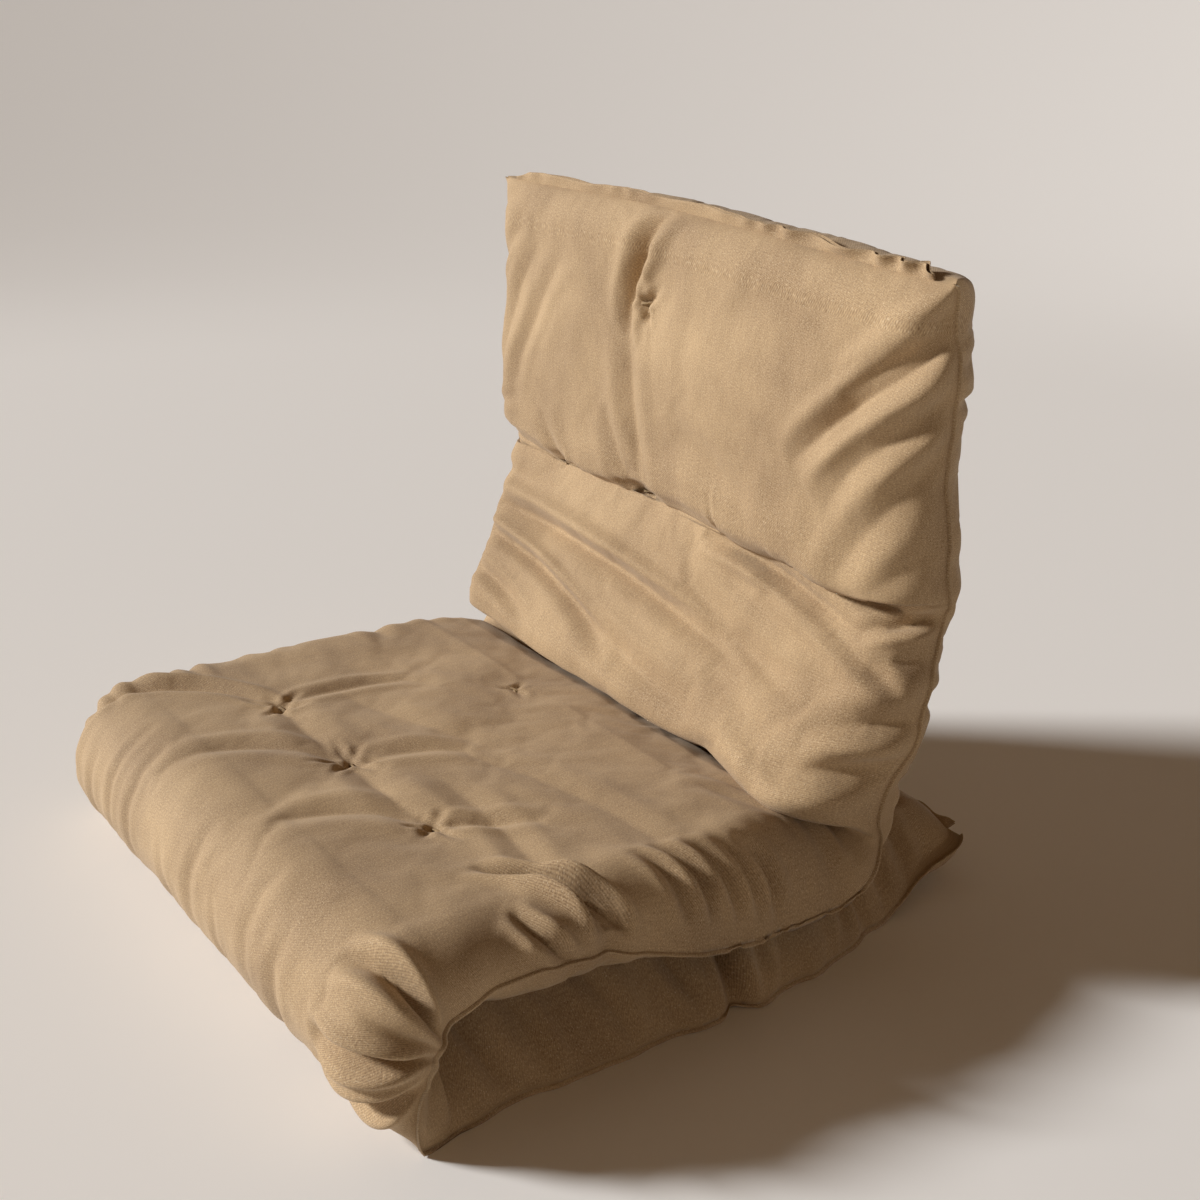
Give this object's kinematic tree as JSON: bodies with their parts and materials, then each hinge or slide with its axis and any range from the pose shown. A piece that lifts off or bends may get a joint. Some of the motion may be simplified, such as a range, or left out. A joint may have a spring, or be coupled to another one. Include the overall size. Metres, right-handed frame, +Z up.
{
  "type": "futon mattress",
  "caption": "Long tufted futon mattress folded into a floor chair, with a base layer, a seat layer over it, and a back and head section that rise behind.",
  "frame": {"origin": "on the floor, under the middle of the folded mattress's overall box", "axes": "+Z up, +X across the width to the sitter's left-hand side seen from behind, +Y from the front fold towards the back"},
  "size_m": [0.7, 0.7523, 0.6846],
  "materials": {
    "cover_fabric": "tan cotton sateen ticking, fine twill with a soft sheen",
    "seam_fabric": "the same ticking, turned in and sewn, slightly frayed",
    "wadding": "soft matt cotton and polyester wadding",
    "core_foam": "matt open-cell foam",
    "tuft_thread": "twisted cotton tufting thread"
  },
  "bodies": {
    "base": {"base_closing_seam": "seam_fabric", "base_core": "core_foam", "base_face_cover": "cover_fabric", "base_face_wadding": "wadding", "base_reverse_cover": "cover_fabric", "base_reverse_wadding": "wadding", "base_tuft_1": "tuft_thread", "base_tuft_2": "tuft_thread", "base_tuft_3": "tuft_thread", "base_tuft_4": "tuft_thread"},
    "front_fold_lower": {"front_fold_lower_core": "core_foam", "front_fold_lower_cover": "cover_fabric", "front_fold_lower_face_wadding": "wadding", "front_fold_lower_reverse_wadding": "wadding"},
    "front_fold_upper": {"front_fold_upper_core": "core_foam", "front_fold_upper_cover": "cover_fabric", "front_fold_upper_face_wadding": "wadding", "front_fold_upper_reverse_wadding": "wadding"},
    "seat": {"seat_core": "core_foam", "seat_face_cover": "cover_fabric", "seat_face_wadding": "wadding", "seat_reverse_cover": "cover_fabric", "seat_reverse_wadding": "wadding", "seat_tuft_1": "tuft_thread", "seat_tuft_2": "tuft_thread", "seat_tuft_3": "tuft_thread", "seat_tuft_4": "tuft_thread"},
    "rear_fold": {"rear_fold_core": "core_foam", "rear_fold_cover": "cover_fabric", "rear_fold_face_wadding": "wadding", "rear_fold_reverse_wadding": "wadding"},
    "back": {"back_core": "core_foam", "back_face_cover": "cover_fabric", "back_face_wadding": "wadding", "back_reverse_cover": "cover_fabric", "back_reverse_wadding": "wadding", "back_tuft_1": "tuft_thread", "back_tuft_2": "tuft_thread", "back_tuft_3": "tuft_thread", "back_tuft_4": "tuft_thread"},
    "head": {"head_closing_seam": "seam_fabric", "head_core": "core_foam", "head_face_cover": "cover_fabric", "head_face_wadding": "wadding", "head_reverse_cover": "cover_fabric", "head_reverse_wadding": "wadding", "head_tuft_1": "tuft_thread"}
  },
  "joints": [
    {"name": "front_fold_bottom", "type": "hinge", "parent": "base", "child": "front_fold_lower", "pos_m": [0, -0.29585, 0], "axis": [1, 0, 0], "range_deg": [0, 45]},
    {"name": "front_fold_open", "type": "hinge", "parent": "front_fold_lower", "child": "front_fold_upper", "pos_m": [0, -0.37615, 0.0803], "axis": [1, 0, 0], "range_deg": [0, 90]},
    {"name": "front_fold_top", "type": "hinge", "parent": "front_fold_upper", "child": "seat", "pos_m": [0, -0.29585, 0.1606], "axis": [1, 0, 0], "range_deg": [0, 45]},
    {"name": "rear_fold_open", "type": "hinge", "parent": "seat", "child": "rear_fold", "pos_m": [0, 0.13815, 0.0806], "axis": [-1, 0, 0], "range_deg": [0, 74]},
    {"name": "back_recline", "type": "hinge", "parent": "rear_fold", "child": "back", "pos_m": [0, 0.13815, 0.1609], "axis": [-1, 0, 0], "range_deg": [-75, 20]},
    {"name": "head_tilt", "type": "hinge", "parent": "back", "child": "head", "pos_m": [0, 0.27653, 0.35217], "axis": [-1, 0, 0], "range_deg": [-8, 80]}
  ],
  "couplings": [
    {"joint": "front_fold_bottom", "follows": "front_fold_open", "ratio": 0.5},
    {"joint": "front_fold_top", "follows": "front_fold_open", "ratio": 0.5},
    {"joint": "rear_fold_open", "follows": "front_fold_open", "ratio": 0.82222}
  ]
}
